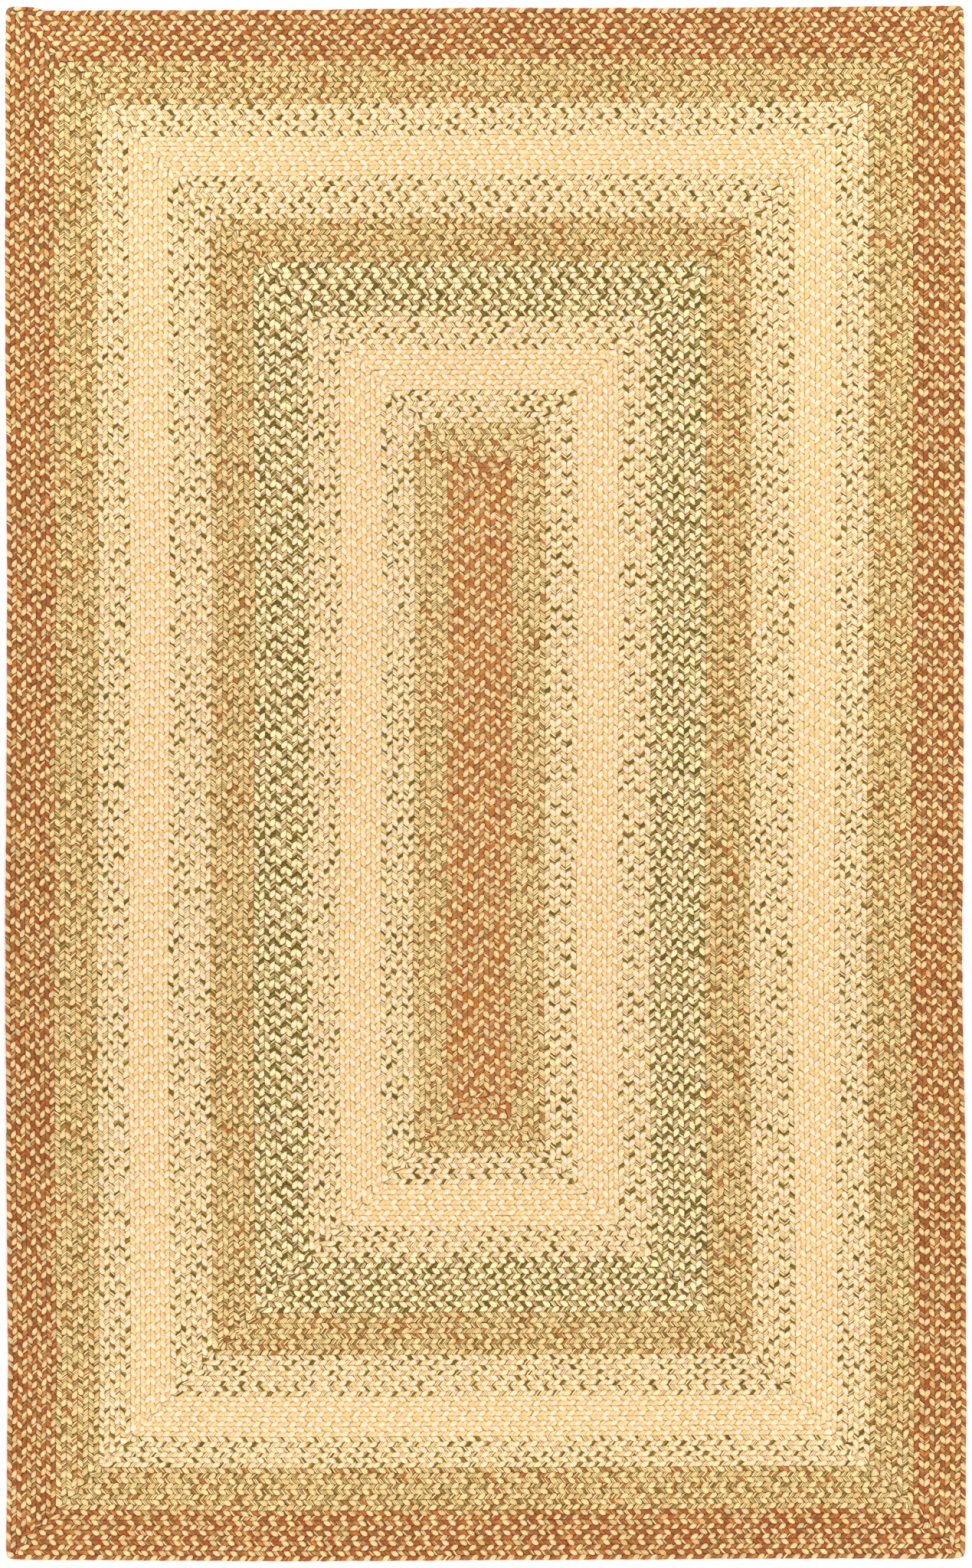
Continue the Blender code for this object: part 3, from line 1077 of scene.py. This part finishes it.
def groundMaterial():
    made, tree, shader = newMaterial("strandGround")
    # The top of the ground carries painted shade and its bottom the under tone.
    tone = attributeOf(tree, "groundShadeAndTone", "Color")
    where = addNode(tree, "ShaderNodeTexCoord").outputs["Object"]
    inputs = {"Vector": where, "Scale": groundLook["grainsPerMetre"], "Detail": 3.0}
    grain = addNode(tree, "ShaderNodeTexNoise", inputs).outputs[0]
    shade = mapped(tree, grain, groundLook["grainSpan"], groundLook["grainShade"])
    tree.links.new(scaled(tree, tone, shade), shader.inputs["Base Color"])
    rough = mapped(tree, grain, (0.0, 1.0), groundLook["roughness"])
    tree.links.new(rough, shader.inputs["Roughness"])
    inputs = {
        "Height": grain,
        "Strength": groundLook["bumpStrength"],
        "Distance": groundLook["bumpDepth"] * mm,
    }
    bump = addNode(tree, "ShaderNodeBump", inputs)
    tree.links.new(bump.outputs[0], shader.inputs["Normal"])
    return made


def groundShadeAndTones(kind, bend):  # painted shade on the top and the under tone below, at the four corners of a station's section
    dark, below = np.array((linear(kind["ground"]), linear(kind["under"])))
    above = dark + (below - dark) * groundLook["turnShadeLift"] * min(bend, 1.0)
    return (below, above, above, below)


def buildGround():
    stations, tones = [], []
    for number, (run, _) in enumerate(rounds, 1):
        own = roundStations(number)
        own = own if number == 1 else own[1:]
        stations += own
        tones += [groundShadeAndTones(yarnKinds[run["yarn"]], bend) for _, _, bend, _ in own]
    tail = tailStations()
    level = turnsOf(lastRound)[4][0][1]
    stations += [(np.array((near[0], level)), *rest) for near, *rest in tail]
    tones += [tones[-1]] * len(tail)
    low, high = groundLook["low"] * mm, groundLook["high"] * mm
    points = []
    for station in stations:
        near, far = laid(station[0]), laid(station[1])
        far = near + (far - near) * groundLook["reach"]
        points += [(*near, low), (*near, high), (*far, high), (*far, low)]
    faces = [(3, 2, 1, 0)]
    for start in range(0, len(points) - 4, 4):
        for k in range(4):
            a, b = start + k, start + (k + 1) % 4
            faces.append((a, b, b + 4, a + 4))
    faces.append(tuple(range(len(points) - 4, len(points))))
    mesh = bpy.data.meshes.new("strand_ground")
    mesh.from_pydata(points, [], faces)
    tone = mesh.color_attributes.new("groundShadeAndTone", "FLOAT_COLOR", "POINT")
    tone.data.foreach_set("color", np.ravel(tones))
    mesh.materials.append(groundMaterial())
    return plainObject("strand_ground", mesh)


print("seams:", lastRound, "rounds, outer one at", [round(float(v), 1) for v in seams[lastRound]])
materials = {name: yarnMaterial(name) for name in yarnKinds}
print("yarns:", ", ".join(materials))
braidTree = buildBraidTree()
leaves = {
    f"{column} {kind} leaf": leafMesh(column + kind, kind, side)
    for column, side in (("Outer", 1), ("Inner", -1))
    for kind in ("fat", "flat")
}
edgeLeaves = {
    f"Outer {kind} leaf": leafMesh("edge" + kind, kind, 1, True) for kind in ("fat", "flat")
}
firstLeaf = 0
for number, (run, count) in enumerate(rounds, 1):
    name = f"{run['name']}_round_{count}"
    shapes = {**leaves, **edgeLeaves} if number == lastRound else leaves
    yarn = materials[run["yarn"]]
    piece, firstLeaf = braidRound(braidTree, number, firstLeaf, shapes, yarn, name)
    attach(piece, "root")
    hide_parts(run["name"])
    if count == run["rounds"]:
        print(run["name"], "braided to round", number)
for leaf in (*leaves.values(), *edgeLeaves.values()):
    bpy.data.objects.remove(leaf, do_unlink=True)

ground = buildGround()
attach(ground, "root")
print("ground:", len(ground.data.polygons), "faces")


studio = {  # in metres and watts
    "floorSize": 14.0,
    "floorColour": (0.93, 0.93, 0.93, 1.0),
    "floorRoughness": 0.9,
    "skyStrength": 1.25,
    "lampEnergy": 210.0,
    "lampSize": 2.4,
    "lampHeight": 3.2,
    "lamps": ((-2.6, 2.2, 1.0), (2.8, 1.6, 0.66), (0.0, -3.4, 0.5)),  # X, Y, share of the energy
    "lens": 135.0,
    "viewHeight": 2.478,  # metres of floor that the picture's long side takes in
    "viewMiddle": (0.0006, -0.0018),
    "clipEnd": 60.0,
}


def buildFloor():
    mesh = bpy.data.meshes.new("floor")
    half = studio["floorSize"] / 2
    corners = [(x * half, y * half, 0) for x, y in ((-1, -1), (1, -1), (1, 1), (-1, 1))]
    mesh.from_pydata(corners, [], [(0, 1, 2, 3)])
    paint, _, shader = newMaterial("floorPaint")
    shader.inputs["Base Color"].default_value = studio["floorColour"]
    shader.inputs["Roughness"].default_value = studio["floorRoughness"]
    mesh.materials.append(paint)
    plainObject("floor", mesh)


def buildLight():
    world = bpy.data.worlds.new("softSky")
    world.use_nodes = True
    sky = world.node_tree.nodes["Background"]
    sky.inputs["Color"].default_value = (1.0, 1.0, 1.0, 1.0)
    sky.inputs["Strength"].default_value = studio["skyStrength"]
    bpy.context.scene.world = world
    for x, y, share in studio["lamps"]:
        lamp = bpy.data.lights.new("softLamp", "AREA")
        lamp.shape, lamp.size = "DISK", studio["lampSize"]
        lamp.energy = studio["lampEnergy"] * share
        holder = plainObject("softLamp", lamp)
        holder.location = (x, y, studio["lampHeight"])
        tilt = math.acos(studio["lampHeight"] / math.hypot(x, y, studio["lampHeight"]))
        holder.rotation_euler = (tilt, 0.0, math.atan2(-x, y))
        holder.visible_camera = False


def buildCamera():  # straight above, as in the photograph
    view = bpy.data.cameras.new("topView")
    view.lens = studio["lens"]
    view.clip_end = studio["clipEnd"]
    camera = plainObject("topView", view)
    distance = studio["viewHeight"] * view.lens / view.sensor_width
    camera.location = (*studio["viewMiddle"], distance)
    bpy.context.scene.camera = camera
    bpy.context.scene.view_settings.view_transform = "Standard"


buildFloor()
buildLight()
buildCamera()
print("studio ready")
